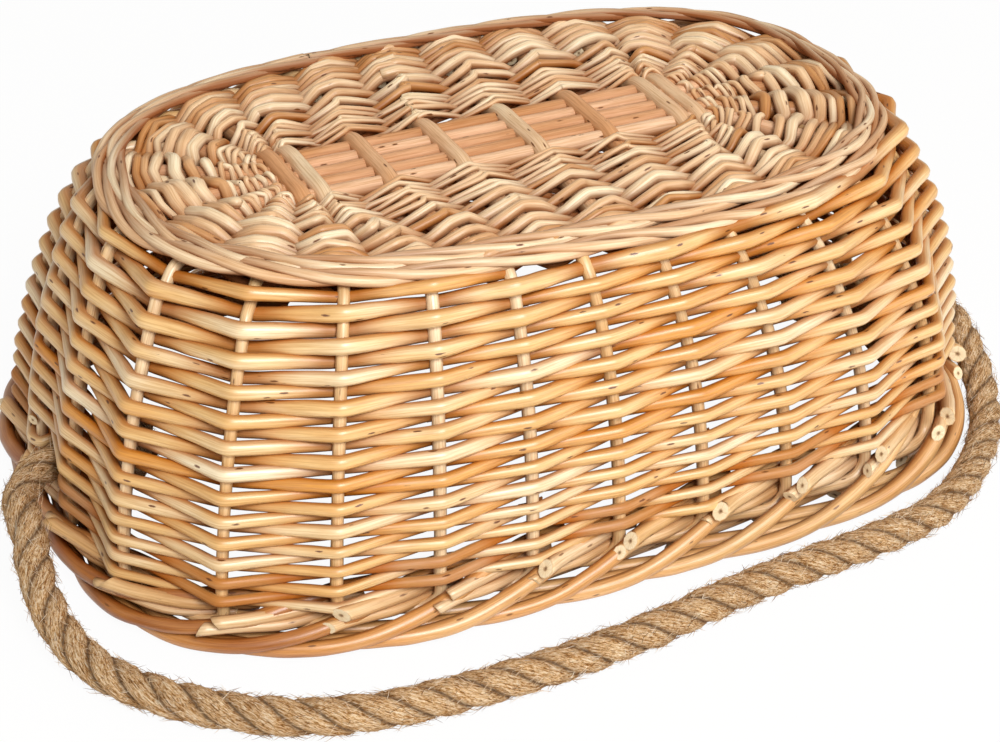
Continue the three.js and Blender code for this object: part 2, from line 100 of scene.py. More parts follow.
def unit(vectors):
    return vectors / np.maximum(np.linalg.norm(vectors, axis=-1, keepdims=True), 1e-12)


# Camera and surroundings

def stand(name, data, right, up, back, place):
    """Puts a camera or a lamp in the scene, looking away from back."""
    item = bpy.data.objects.new(name, data)
    rows = [[right[i], up[i], back[i], place[i]] for i in range(3)] + [[0, 0, 0, 1]]
    item.matrix_world = Matrix(rows)
    bpy.context.scene.collection.objects.link(item)
    return item


def place_camera():
    """The photograph's viewing angle, for a picture of 1000 by 742."""
    data = bpy.data.cameras.new("camera")
    data.sensor_width = SENSOR_WIDTH
    data.sensor_fit = "HORIZONTAL"
    data.lens = SENSOR_WIDTH * FOCAL_PIXELS / PHOTO_WIDTH
    data.clip_end = 20
    azimuth, elevation, roll = (math.radians(angle) for angle in CAMERA_ANGLES)
    back = np.array([math.sin(azimuth) * math.cos(elevation),
                     -math.cos(azimuth) * math.cos(elevation), math.sin(elevation)])
    sideways = np.array([math.cos(azimuth), math.sin(azimuth), 0])
    upright = np.cross(back, sideways)
    right = sideways * math.cos(roll) + upright * math.sin(roll)
    up = upright * math.cos(roll) - sideways * math.sin(roll)
    place = np.array(CAMERA_TARGET) * MM + back * CAMERA_DISTANCE * MM
    bpy.context.scene.camera = stand("camera", data, right, up, back, place)


def feed(tree, socket, value):
    """Links an input to a node's output, or sets its value."""
    if isinstance(value, bpy.types.NodeSocket):
        tree.links.new(value, socket)
    else:
        socket.default_value = value


def node_maker(material):
    """Returns a function that adds a node, sets its values and links its inputs."""
    tree = material.node_tree

    def make(kind, inputs=None, **settings):
        node = tree.nodes.new(kind)
        for name, value in settings.items():
            setattr(node, name, value)
        for name, value in (inputs or {}).items():
            feed(tree, node.inputs[name], value)
        return node

    return make


def new_material(name):
    """An empty material, and the function that adds its nodes."""
    material = bpy.data.materials.new(name)
    material.use_nodes = True
    material.node_tree.nodes.clear()
    return material, node_maker(material)


def make_floor():
    """A pale floor, which the camera sees as nearly white."""
    mesh = bpy.data.meshes.new("floor")
    corners = [(x * FLOOR_HALF, y * FLOOR_HALF, 0) for x, y in ((-1, -1), (1, -1), (1, 1), (-1, 1))]
    mesh.from_pydata(corners, [], [(0, 1, 2, 3)])
    floor = bpy.data.objects.new("floor", mesh)
    bpy.context.scene.collection.objects.link(floor)
    material, make = new_material("floor")
    shade = make("ShaderNodeBsdfDiffuse", {"Color": (0.92, 0.89, 0.85, 1)})
    white = make("ShaderNodeEmission", WHITE)
    seen = make("ShaderNodeLightPath").outputs["Is Camera Ray"]
    share = make("ShaderNodeMath", {0: seen, 1: FLOOR_WHITENESS}, operation="MULTIPLY")
    both = make("ShaderNodeMixShader", {0: share.outputs[0], 1: shade.outputs[0], 2: white.outputs[0]})
    make("ShaderNodeOutputMaterial", {"Surface": both.outputs[0]})
    floor.data.materials.append(material)


def make_world():
    """Soft warm light all round, which the camera sees as white."""
    world = bpy.data.worlds.new("studio")
    world.use_nodes = True
    world.node_tree.nodes.clear()
    make = node_maker(world)
    seen = make("ShaderNodeLightPath").outputs["Is Camera Ray"]
    light = make("ShaderNodeBackground", {"Color": WORLD_COLOUR, "Strength": WORLD_LIGHT})
    white = make("ShaderNodeBackground", WHITE)
    both = make("ShaderNodeMixShader", {0: seen, 1: light.outputs[0], 2: white.outputs[0]})
    make("ShaderNodeOutputWorld", {"Surface": both.outputs[0]})
    bpy.context.scene.world = world


def add_lamp(name, place, size, power):
    data = bpy.data.lights.new(name, "AREA")
    data.shape = "DISK"
    data.size = size
    data.energy = power
    back = unit(np.subtract(place, LAMP_TARGET))
    right = unit(np.cross([0, 0, 1], back))
    stand(name, data, right, np.cross(back, right), back, place)


place_camera()
make_floor()
make_world()
for name, (place, size, power) in LAMPS.items():
    add_lamp(name, place, size, power)
bpy.context.scene.view_settings.view_transform = "Standard"


# Meshes of rods

LEG_PART = 12


def smooth_line(points, step):
    """A centripetal Catmull-Rom line through the points, its own points about a step apart."""
    points = np.asarray(points, float)
    first = 2 * points[0] - points[1]
    last = 2 * points[-1] - points[-2]
    controls = np.vstack([first, points, last])
    places = []
    for index in range(len(points) - 1):
        p0, p1, p2, p3 = controls[index:index + 4]
        gaps = [np.linalg.norm(gap) for gap in (p1 - p0, p2 - p1, p3 - p2)]
        t0, t1, t2, t3 = np.r_[0, np.cumsum(np.maximum(gaps, 1e-9) ** 0.5)]
        count = max(2, int(math.ceil(gaps[1] / step)))
        t = np.linspace(t1, t2, count, endpoint=False)[:, None]
        a1 = (t1 - t) / (t1 - t0) * p0 + (t - t0) / (t1 - t0) * p1
        a2 = (t2 - t) / (t2 - t1) * p1 + (t - t1) / (t2 - t1) * p2
        a3 = (t3 - t) / (t3 - t2) * p2 + (t - t2) / (t3 - t2) * p3
        b1 = (t2 - t) / (t2 - t0) * a1 + (t - t0) / (t2 - t0) * a2
        b2 = (t3 - t) / (t3 - t1) * a2 + (t - t1) / (t3 - t1) * a3
        places.append((t2 - t) / (t2 - t1) * b1 + (t - t1) / (t2 - t1) * b2)
    places.append(points[-1:])
    return np.vstack(places)


def bent_line(points, ease, step):
    """A line of straight legs whose corners are eased over a short length."""
    points = np.asarray(points, float)
    eased = [points[0]]
    for before, corner, after in zip(points[:-2], points[1:-1], points[2:]):
        for other in (before, after):
            leg = other - corner
            eased.append(corner + leg * min(ease / np.linalg.norm(leg), 0.45))
    eased.append(points[-1])
    filled = [eased[0]]
    for start, end in zip(eased[:-1], eased[1:]):
        parts = max(1, int(np.linalg.norm(end - start) / LEG_PART))
        filled += [start + (end - start) * (i + 1) / parts for i in range(parts)]
    return smooth_line(filled, step)


def distances(line):
    """How far along a line each of its points lies."""
    return np.r_[0, np.cumsum(np.linalg.norm(np.diff(line, axis=0), axis=1))]


def line_frames(line, reference):
    """Tangents, and two directions across the line that stay close to the reference."""
    tangents = unit(np.gradient(line, axis=0))
    across = np.broadcast_to(np.asarray(reference, float), line.shape).copy()
    across -= (across * tangents).sum(1, keepdims=True) * tangents
    across = unit(across)
    return tangents, across, np.cross(tangents, across)


def turning_frames(line):
    """Frames carried along the line without twist."""
    tangents = unit(np.gradient(line, axis=0))
    across = np.zeros_like(line)
    start = np.cross(tangents[0], [0.31, 0.27, 0.91])
    across[0] = start / np.linalg.norm(start)
    for index in range(1, len(line)):
        moved = across[index - 1] - across[index - 1].dot(tangents[index]) * tangents[index]
        across[index] = moved / np.linalg.norm(moved)
    return tangents, across, np.cross(tangents, across)


def waves(distance, rng, length, count=3):
    """A smooth random wave of about unit height along a line."""
    total = np.zeros_like(distance, dtype=float)
    for _ in range(count):
        pace = rng.uniform(0.6, 1.6) * 2 * math.pi / length
        total += np.sin(distance * pace + rng.uniform(0, 2 * math.pi))
    return total / math.sqrt(count)


class Bundle:
    """Rods that make one piece. A rod has a skin and two cut ends."""

    def __init__(self):
        self.places, self.grain, self.tint, self.deep, self.disc = [], [], [], [], []
        self.faces, self.slots, self.count = [], [], 0

    def add_points(self, places, grain, tint, deep, disc):
        start = self.count
        self.places.append(places)
        self.grain.append(grain)
        for store, value in ((self.tint, tint), (self.deep, deep), (self.disc, disc)):
            store.append(np.broadcast_to(value, len(places)).astype(float))
        self.count += len(places)
        return start

    def add_faces(self, faces, slot):
        self.faces.append(faces)
        self.slots.append(np.full(len(faces), slot))

    def rod(self, line, radius, rng, frames=None, sides=10, tint=None, deep=0.0,
            slants=(0.3, 0.3), flat=1.0, lumps=0.05, face=(0, 0, 1), crease_shade=0.5, skin=0):
        """A rod along a line. The radius may change, and flat is its width to its height.

        Painted shade darkens it where it is given, and on the sides turned away from its face, the way it
        is seen from.
        """
        line = np.asarray(line, float)
        count = len(line)
        radius = np.broadcast_to(np.asarray(radius, float), count)
        flat = np.broadcast_to(np.asarray(flat, float), count)
        tangents, across, third = frames if frames is not None else turning_frames(line)
        steps = distances(line)
        angles = np.linspace(0, 2 * math.pi, sides, endpoint=False)
        lobe = lumps * (
            np.cos(angles[None] * 2 + waves(steps, rng, 90)[:, None] * 1.5 + rng.uniform(0, 6)) * 0.5
            + waves(steps, rng, 26)[:, None] * 0.35
            + waves(steps, rng, 120)[:, None] * 0.5
        )
        size = radius[:, None] * (1 + lobe)
        first = (size * np.cos(angles))[..., None] * across[:, None]
        second = (size * flat[:, None] * np.sin(angles))[..., None] * third[:, None]
        places = line[:, None] + first + second
        facing = (unit(first + second) * np.broadcast_to(face, line.shape)[:, None]).sum(2)
        for end, slant in zip((0, -1), slants):
            turn = rng.uniform(0, 2 * math.pi)
            lean = slant * size[end] * np.cos(angles - turn)
            places[end] += lean[:, None] * tangents[end]
        shift = rng.uniform(-40, 40, 3)
        grain = np.stack([
            (radius.mean() * np.cos(angles))[None].repeat(count, 0),
            (radius.mean() * np.sin(angles))[None].repeat(count, 0),
            steps[:, None].repeat(sides, 1),
        ], -1) + shift
        tint = rng.uniform(0, 1) if tint is None else tint
        deep = np.broadcast_to(np.asarray(deep, float), count)[:, None]
        # Painted shade: the given shade, plus shade on the sides turned away from the face
        deep = (deep + crease_shade * (1 - np.clip(facing, 0, 1)) ** 2).clip(0, 1).ravel()
        self.tube(places, grain, tangents, tint, deep, skin)

    def tube(self, places, grain, tangents, tint, deep, slot):
        """A skin over rings of places, with its two cut ends."""
        start = self.add_points(places.reshape(-1, 3), grain.reshape(-1, 3), tint, deep, 1.0)
        rings = start + np.arange(len(places) * len(places[0])).reshape(len(places), -1)
        here, there = rings[:-1], rings[1:]
        quads = np.stack([here, np.roll(here, -1, 1), np.roll(there, -1, 1), there], -1)
        self.add_faces(quads.reshape(-1, 4), slot)
        for end, way in ((0, -1), (-1, 1)):
            self.cap(places[end], rings[end], grain[end], tangents[end] * way, tint, way)

    def cap(self, ring, numbers, grain, outward, tint, way):
        """A cut end: a slightly rounded edge, then rings down to the pith."""
        middle = ring.mean(0)
        before = numbers
        for share, rise in ((0.9, 0.05), (0.5, 0.07), (0.22, 0.06)):
            radius = np.linalg.norm(ring - middle, axis=1).mean()
            places = middle + (ring - middle) * share + outward * rise * radius
            start = self.add_points(places, grain, tint, 0.0, share)
            inner = start + np.arange(len(ring))
            quads = np.stack([before, np.roll(before, -1), np.roll(inner, -1), inner], -1)
            if way < 0:
                quads = quads[:, ::-1]
            self.add_faces(quads, 1)
            before = inner
        centre = self.add_points(middle[None], grain[:1], tint, 0.0, 0.0)
        tips = np.stack([before, np.roll(before, -1), np.full(len(ring), centre)], -1)
        if way < 0:
            tips = tips[:, ::-1]
        self.add_faces(tips, 1)

    def make(self, name, materials, tilt):
        """The piece's object, in metres, leaning by tilt."""
        places = tilted(np.vstack(self.places), tilt) * MM
        slots = np.concatenate(self.slots)
        faces = [face.tolist() for block in self.faces for face in block]
        mesh = bpy.data.meshes.new(name)
        mesh.from_pydata(places.tolist(), [], faces)
        mesh.polygons.foreach_set("material_index", slots.astype(np.int32))
        mesh.polygons.foreach_set("use_smooth", slots != 1)
        grain = mesh.attributes.new("grain", "FLOAT_VECTOR", "POINT")
        grain.data.foreach_set("vector", np.vstack(self.grain).astype(np.float32).ravel())
        for key, store in (("tint", self.tint), ("deep", self.deep), ("disc", self.disc)):
            values = mesh.attributes.new(key, "FLOAT", "POINT")
            values.data.foreach_set("value", np.concatenate(store).astype(np.float32))
        mesh.update()
        for material in materials:
            mesh.materials.append(material)
        piece = bpy.data.objects.new(name, mesh)
        bpy.context.scene.collection.objects.link(piece)
        return piece


# Materials

def ramp(make, factor, stops):
    node = make("ShaderNodeValToRGB", {"Fac": factor})
    elements = node.color_ramp.elements
    while len(elements) > len(stops):
        elements.remove(elements[-1])
    while len(elements) < len(stops):
        elements.new(1.0)
    for element, (place, colour) in zip(elements, stops):
        element.position = place
        element.color = (*colour, 1)
    return node.outputs["Color"]


def mixed(make, factor, first, second, blend="MIX"):
    node = make("ShaderNodeMix", data_type="RGBA", blend_type=blend)
    for number, value in ((0, factor), (6, first), (7, second)):
        value = (*value, 1) if isinstance(value, tuple) else value
        feed(node.id_data, node.inputs[number], value)
    return node.outputs[2]


def maths(make, operation, first, second):
    return make("ShaderNodeMath", {0: first, 1: second}, operation=operation).outputs[0]


def times(make, first, second):
    return maths(make, "MULTIPLY", first, second)


def attribute(make, name, output="Fac"):
    return make("ShaderNodeAttribute", attribute_name=name).outputs[output]


def stretched(make, grain, scales):
    return make("ShaderNodeVectorMath", {0: grain, 1: scales}, operation="MULTIPLY").outputs[0]


def noise(make, grain, scales, detail, roughness=0.5):
    """Noise in the grain, which is in millimetres, with a scale for each of its axes."""
    return make("ShaderNodeTexNoise", {"Vector": stretched(make, grain, scales), "Scale": 1.0,
                                       "Detail": detail, "Roughness": roughness}).outputs[0]


def surface(make, colour, roughness, bump, **more):
    """The material's shader. The bump is its height, strength and distance in metres."""
    raised = make("ShaderNodeBump", dict(zip(("Height", "Strength", "Distance"), bump)))
    values = {"Base Color": colour, "Roughness": roughness, "Normal": raised.outputs[0], **more}
    shader = make("ShaderNodeBsdfPrincipled", values)
    make("ShaderNodeOutputMaterial", {"Surface": shader.outputs[0]})


def willow(name, pale, mid, dark, deep_colour, flecks=1.0, roughness=0.42, gloss=1.0):
    """Peeled willow: a hue to each rod, long streaks, painted shade where it dives and on its sides
    turned from the view, and bud scars.
    """
    material, make = new_material(name)
    grain = attribute(make, "grain", "Vector")
    deep = attribute(make, "deep")
    patches = maths(make, "SUBTRACT", noise(make, grain, (0.05, 0.05, 0.012), 3.0), 0.5)
    hue = maths(make, "ADD", times(make, attribute(make, "tint"), 0.75), times(make, patches, 1.5))
    hue = maths(make, "ADD", hue, 0.12)
    colour = ramp(make, hue, [(0.05, pale), (0.5, mid), (0.95, dark)])
    streaks = noise(make, grain, (1.4, 1.4, 0.045), 3.0, 0.6)
    streak_strength = ramp(make, streaks, [(0.34, (0.76, 0.63, 0.48)), (0.6, (1.07, 1.06, 1.05))])
    colour = mixed(make, 0.85, colour, streak_strength, "MULTIPLY")
    # Painted shade: the colour goes towards the wood's shade colour where shade is painted
    painted_shade_share = times(make, deep, 0.9)
    colour = mixed(make, painted_shade_share, colour, deep_colour)
    scars = make("ShaderNodeTexVoronoi", {"Vector": stretched(make, grain, (0.22, 0.22, 0.055)),
                                          "Scale": 1.0, "Randomness": 1.0}).outputs["Distance"]
    scar_break = noise(make, grain, (2.2, 2.2, 0.7), 2.0)
    scar_edge = maths(make, "ADD", scars, times(make, scar_break, 0.12))
    scar = ramp(make, scar_edge, [(0.14, (flecks,) * 3), (0.19, (0, 0, 0))])
    colour = mixed(make, scar, colour, (0.16, 0.05, 0.01))
    fine = noise(make, grain, (3.2, 3.2, 0.12), 4.0, 0.65)
    rough = make("ShaderNodeMapRange", {"Value": fine, "From Min": 0.3, "From Max": 0.7,
                                        "To Min": roughness - 0.06, "To Max": roughness + 0.14})
    height = maths(make, "SUBTRACT", fine, times(make, scar, 1.2))
    # Less gloss where shade is painted
    unshaded_share = maths(make, "SUBTRACT", 1.0, painted_shade_share)
    surface(make, colour, rough.outputs[0], (height, 0.22, 0.0004), **{
        "Specular IOR Level": times(make, unshaded_share, 0.6 * gloss),
        "Coat Weight": times(make, unshaded_share, 0.9 * gloss), "Coat Roughness": 0.36,
    })
    return material


def cut_wood():
    """A cut end: pale rings, a grey-brown pith and small checks."""
    material, make = new_material("cut_wood")
    speckle = noise(make, attribute(make, "grain", "Vector"), (1.3, 1.3, 1.3), 3.0)
    ragged = times(make, maths(make, "SUBTRACT", speckle, 0.5), 0.3)
    reach = maths(make, "ADD", attribute(make, "disc"), ragged)
    colour = ramp(make, reach, [
        (0.06, (0.2, 0.11, 0.05)), (0.2, (0.5, 0.33, 0.17)), (0.34, (0.9, 0.73, 0.47)),
        (0.85, (0.95, 0.81, 0.56)), (1.0, (0.7, 0.46, 0.22)),
    ])
    checks = ramp(make, speckle, [(0.3, (0.55, 0.45, 0.32)), (0.6, (1, 1, 1))])
    colour = mixed(make, 0.35, colour, checks, "MULTIPLY")
    surface(make, colour, 0.75, (speckle, 0.4, 0.0004))
    return material


CUT = cut_wood()

# Each wood's pale, middle and dark colours, and the colour of its painted shade
WEAVER_WOOD = willow("weaver_willow", (0.91, 0.78, 0.54), (0.8, 0.53, 0.22), (0.7, 0.31, 0.045),
                     (0.4, 0.1, 0.003), roughness=0.36, gloss=1.1)
STAKE_WOOD = willow("stake_willow", (0.94, 0.76, 0.5), (0.88, 0.65, 0.37), (0.8, 0.52, 0.23),
                    (0.36, 0.1, 0.01), flecks=0.8, roughness=0.36)
BORDER_WOOD = willow("border_willow", (0.86, 0.55, 0.25), (0.68, 0.32, 0.09), (0.34, 0.1, 0.015),
                     (0.22, 0.045, 0.003), flecks=0.8, roughness=0.34)
BASE_WOOD = willow("base_willow", (0.94, 0.8, 0.56), (0.84, 0.58, 0.34), (0.58, 0.28, 0.09),
                   (0.25, 0.055, 0.003), gloss=0.8)
LONG_WOOD = willow("long_stick_willow", (0.84, 0.57, 0.37), (0.74, 0.43, 0.25), (0.56, 0.27, 0.11),
                   (0.26, 0.07, 0.01), roughness=0.5, gloss=0.3)
CROSS_WOOD = willow("cross_stick_willow", (0.82, 0.65, 0.43), (0.78, 0.51, 0.3), (0.68, 0.35, 0.16),
                    (0.32, 0.1, 0.012), roughness=0.46, gloss=0.4)


# Lines of the basket

def oval(half_length, half_width, squareness):
    """A superellipse read by the share of its length, anticlockwise from +X."""
    angles = np.linspace(0, 2 * math.pi, 1441)
    cosine, sine = np.cos(angles), np.sin(angles)
    points = np.stack([
        half_length * np.sign(cosine) * np.abs(cosine) ** (2 / squareness),
        half_width * np.sign(sine) * np.abs(sine) ** (2 / squareness),
    ], -1)
    lengths = distances(points)

    def at(share):
        wanted = (np.asarray(share, float) % 1) * lengths[-1]
        return np.stack([np.interp(wanted, lengths, points[:, i]) for i in (0, 1)], -1)

    return at, lengths[-1]


rim_at, rim_total = oval(RIM_LENGTH / 2 - BORDER_REACH, RIM_WIDTH / 2 - BORDER_REACH, RIM_SQUARENESS)
base_at, base_total = oval(BASE_LENGTH / 2 - EDGE_REACH, BASE_WIDTH / 2 - EDGE_REACH, BASE_SQUARENESS)
edge_at, edge_total = oval(BASE_LENGTH / 2 - BUTT_INSET, BASE_WIDTH / 2 - BUTT_INSET, BASE_SQUARENESS)


def flare(z):
    return (1 - (np.clip(z, 0, HEIGHT) / HEIGHT) ** 2) ** FLARE_POWER


def side_at(share, z):
    share, z = np.broadcast_arrays(np.asarray(share, float), np.asarray(z, float))
    spread = flare(z)[..., None]
    return base_at(share - STAKE_LEAN / base_total) * (1 - spread) + rim_at(share) * spread


def side_point(share, z, out=0.0):
    """A point on the stakes' surface, or beside it by out along the level normal."""
    share, z, out = np.broadcast_arrays(*(np.asarray(v, float) for v in (share, z, out)))
    tangent = unit(side_at(share + 0.002, z) - side_at(share - 0.002, z))
    plan = side_at(share, z)
    out = out + SPREAD
    return np.stack([plan[..., 0] + tangent[..., 1] * out, plan[..., 1] - tangent[..., 0] * out, z], -1)


def stake_share(index):
    """Where a stake stands on the rim, also between stakes."""
    even = (np.asarray(index, float) + 0.5) / STAKES
    turn = even - np.floor(even)
    along = (turn - 0.5) * 2
    drift = FRONT_DRIFT * np.sin(2 * math.pi * along) - FRONT_SKEW * np.sin(math.pi * along)
    return even + np.where(turn < 0.5, 0, drift / rim_total)


def row_share(row):
    return np.asarray(row, float) / (ROWS - 1)


def row_level(row):
    share = row_share(row)
    return ROW_BOTTOM + (ROW_TOP - ROW_BOTTOM) * share * (1 + ROW_TAPER * (share - 1))


def row_pitch(row):
    return (ROW_TOP - ROW_BOTTOM) / (ROWS - 1) * (1 + ROW_TAPER * (2 * row_share(row) - 1))


# The base's spokes: stick ends, and the stakes' butts beside them
SLIT_HALF = ((LONG_STICKS - 1) * LONG_PITCH + LONG_STICK) / 2 + SLIT_SLACK
SLATH_HALF = SLIT_HALF + SLIT_TAPER + SLIT_MARGIN
BUTT_SPACING = (CROSS_STICK + STAKE) / 2 + 2 * CLEARANCE
WEAVE_START, WEAVE_NEAR = 26.5, 3.0
CROSS_COUNT = len(CROSS_PLACES)
FIRST_BACK = (LONG_STICKS + 1) // 2
FIRST_LEFT = FIRST_BACK + CROSS_COUNT
FIRST_FRONT = FIRST_LEFT + LONG_STICKS
FIRST_RIGHT = FIRST_FRONT + CROSS_COUNT
SEAM = FIRST_BACK + CROSS_COUNT // 2


def long_offset(number):
    return ((LONG_STICKS - 1) / 2 - number) * LONG_PITCH


def stick_of(index):
    """The kind and number of the stick beside a stake, and where it leaves the middle."""
    if FIRST_BACK <= index < FIRST_LEFT:
        number = FIRST_LEFT - 1 - index
        return "cross", number, (CROSS_PLACES[number], SLATH_HALF)
    if FIRST_LEFT <= index < FIRST_FRONT:
        number = index - FIRST_LEFT
        return "long", number, (CROSS_PLACES[0] - SLATH_STEP, long_offset(number))
    if FIRST_FRONT <= index < FIRST_RIGHT:
        number = index - FIRST_FRONT
        return "cross", number, (CROSS_PLACES[number], -SLATH_HALF)
    number = LONG_STICKS - 1 - (index - FIRST_RIGHT) if index >= FIRST_RIGHT else FIRST_BACK - 1 - index
    return "long", number, (CROSS_PLACES[-1] + SLATH_STEP, long_offset(number))


def make_spokes():
    spokes = []
    for index in range(STAKES):
        kind, number, inner = stick_of(index)
        inner = np.array(inner, float)
        edge = edge_at(stake_share(index) - STAKE_LEAN / base_total)
        run = unit(edge - inner)
        outer = edge - np.array([-run[1], run[0]]) * BUTT_SPACING
        direction = unit(outer - inner)
        start = inner.copy()
        if kind == "cross":
            start[1] *= WEAVE_START / SLATH_HALF
        else:
            start[0] -= math.copysign(WEAVE_NEAR, inner[0])
        spokes.append({"kind": kind, "number": number, "inner": inner, "outer": outer, "edge": edge,
                       "direction": direction, "start": start,
                       "first": np.linalg.norm(inner - start), "length": np.linalg.norm(outer - inner)})
    return spokes


def on_spoke(spoke, part):
    """A place along a spoke, its direction outward and its direction round the base."""
    reach = part * (spoke["first"] + spoke["length"])
    straight = unit(spoke["inner"] - spoke["start"])
    if reach < spoke["first"]:
        place = spoke["start"] + straight * reach
    else:
        place = spoke["inner"] + spoke["direction"] * (reach - spoke["first"])
    blend = min(max((reach - spoke["first"] + 6) / 12, 0), 1)
    outward = unit(straight * (1 - blend) + spoke["direction"] * blend)
    return place, outward, np.array([-outward[1], outward[0]])


SPOKES = make_spokes()


def level(plan, z):
    plan = np.asarray(plan, float)
    return np.concatenate([plan, np.full(plan.shape[:-1] + (1,), float(z))], -1)


def tilted(places, tilt):
    """A handmade lean: the right-hand end stands a little taller than the left."""
    grown = np.clip((places[:, 2] - TILT_FROM) / TILT_FADE, 0, 1)
    rise = places[:, 0] * tilt * grown
    return places + rise[:, None] * (0, 0, 1)


def finish_piece(bundle, name, materials, body, slot, *nodes):
    piece = bundle.make(name, materials, TILT if body == "basket" else 0)
    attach(piece, body)
    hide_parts(*nodes)
    return piece


# The side's rods: how far a rod stands off the stakes, how far out that is shifted, between what
# numbers its least count of stakes is drawn, the least count of a row's last rod, and how far its ends
# run on. The rows rise from left to right, most at the front
WEAVE_REACH, WEAVE_BIAS = 4.6, 0.8
ROD_STAKES, LAST_ROD, ROD_END = (8, 14), 5, 6
GIRTH_SHARE, GIRTH_GROWTH = 1.13, 0.05
ROW_RISE, RISE_FROM, RISE_MOST, RISE_DEPTH = 0.037, 150, 10, 160
TURN_SIDE, TURN_OUT = 7.4, 3.6
PACKED_FROM, PACKED_BAYS = 10, 8


def wall_point(share, z, out):
    """A place beside the stakes by out, square to the sloping wall, raised as its row rises."""
    places = side_point(share, z)
    beside = side_point(share, z, 1.0) - places
    upward = side_point(share, np.add(z, 1)) - side_point(share, np.subtract(z, 1))
    slope = -(upward * beside).sum(-1) / 2
    lean = np.arctan(slope)[..., None]
    square = beside * np.cos(lean) + np.array([0, 0, 1]) * np.sin(lean)
    places = places + square * np.broadcast_to(np.asarray(out, float), lean.shape[:-1])[..., None]
    rise = np.clip((places[..., 0] + RISE_FROM) * ROW_RISE, 0, RISE_MOST)
    places[..., 2] += rise * np.clip(0.5 - places[..., 1] / RISE_DEPTH, 0.25, 1)
    return places


def crossing_points(row, first, count, rng):
    """Where a row's rod passes its stakes: outside every second one, and inside the others."""
    indices = first + np.arange(count)
    kinds = np.where((indices + row) % 2 == 0, 1.0, -1.0)
    reach = (WEAVE_REACH * kinds + WEAVE_BIAS) * rng.uniform(0.95, 1.1, count)
    z = row_level(row) + rng.normal(0, 0.25, count)
    return wall_point(stake_share(indices), z, reach), kinds


def weave_rod(bundle, points, kinds, rng, girth, taper, tint):
    """One rod of the side weave, swelling where it shows and thinner where it dives, with painted shade
    where it dives and on its sides turned from the view.
    """
    line = bent_line(points, 1.1, 2.4)
    corners, steps = distances(points), distances(line)
    kind = np.interp(steps * corners[-1] / steps[-1], corners, kinds)
    along = steps / steps[-1]
    size = girth / 2 * (1 + 0.11 * kind) * (1 + taper * (0.5 - along))
    slope = unit(np.gradient(line, axis=0))
    outward = np.cross(slope, [0, 0, 1])
    if slope[len(slope) // 2] @ np.cross([0, 0, 1], line[len(line) // 2]) < 0:
        outward = -outward
    frames = (slope, unit(np.cross(outward, slope)), unit(outward))
    # Painted shade where the rod passes inside a stake
    deep = np.clip(0.35 - kind, 0, 1) ** 1.4 * 0.75
    bundle.rod(line, size, rng, frames=frames, tint=tint, deep=deep, flat=0.96, lumps=0.06,
               slants=(0.9, 0.9), face=unit(outward), crease_shade=0.75)


def weave_row(bundle, row, first, rng):
    """A row of two or three rods, whose ends lie on the inside of a stake."""
    girth = row_pitch(row) * (GIRTH_SHARE + GIRTH_GROWTH * row_share(row))
    points, kinds = crossing_points(row, first + (first + row + 1) % 2, STAKES, rng)
    points = np.vstack([points, points[:1]])
    kinds = np.r_[kinds, kinds[:1]]
    starts = [0]
    for place in np.flatnonzero(kinds < 0):
        if place - starts[-1] > rng.integers(*ROD_STAKES) and len(kinds) - place > LAST_ROD:
            starts.append(place)
    starts.append(len(points) - 1)
    for begin, end in zip(starts[:-1], starts[1:]):
        run = points[begin:end + 1]
        before, after = unit(run[0] - run[1]), unit(run[-1] - run[-2])
        run = np.vstack([run[0] + before * ROD_END, run, run[-1] + after * ROD_END])
        weave_rod(bundle, run, np.r_[-1, kinds[begin:end + 1], -1], rng,
                  girth * rng.uniform(0.94, 1.06), rng.choice([-1, 1]) * rng.uniform(0.06, 0.2),
                  float(np.clip(rng.normal(0.5, 0.25), 0, 1)))


rng_side = np.random.default_rng(7)
for number in range(10):
    bundle = Bundle()
    group, strand = divmod(number, 2)
    for turn in range(2):
        weave_row(bundle, LOW_ROWS + 4 * group + 2 * turn + strand, SEAM, rng_side)
    if number == 9:
        points, kinds = crossing_points(ROWS, PACKED_FROM, PACKED_BAYS + 1, rng_side)
        weave_rod(bundle, points, kinds, rng_side, row_pitch(ROWS), 0.1, 0.8)
    name = f"side_weaver_{number + 1:02d}"
    finish_piece(bundle, f"willow_{name}", [WEAVER_WOOD, CUT], "basket", "weaver", name)


def low_weave(first, name):
    """The lowest rows, which turn back round the stakes beside the handle's holes."""
    bundle = Bundle()
    last = first + STAKES // 2 - 1
    points, kinds = [], []
    for row in range(LOW_ROWS):
        row_points, row_kinds = crossing_points(row, first, STAKES // 2, rng_side)
        if row % 2 == 1:
            row_points, row_kinds = row_points[::-1], row_kinds[::-1]
        points.append(row_points)
        kinds.append(row_kinds)
        if row == LOW_ROWS - 1:
            break
        turning = last if row % 2 == 0 else first
        away = 1 if row % 2 == 0 else -1
        share = stake_share(turning) + away * TURN_SIDE / rim_total
        side = 1 if (turning + row) % 2 == 0 else -1
        rise = row_level(row + 1) - row_level(row)
        parts, outs = np.array([(0.25, side), (0.5, 0), (0.75, -side)]).T
        points.append(wall_point(share, row_level(row) + rise * parts, TURN_OUT * outs))
        kinds.append(0.5 * outs)
    points, kinds = np.vstack(points), np.concatenate(kinds)
    weave_rod(bundle, points, kinds, rng_side, row_pitch(2) * 1.1, 0.1, 0.45)
    finish_piece(bundle, f"willow_{name}", [WEAVER_WOOD, CUT], "basket", "weaver", name)


low_weave(0, "low_weaver_back")
low_weave(STAKES // 2, "low_weaver_front")


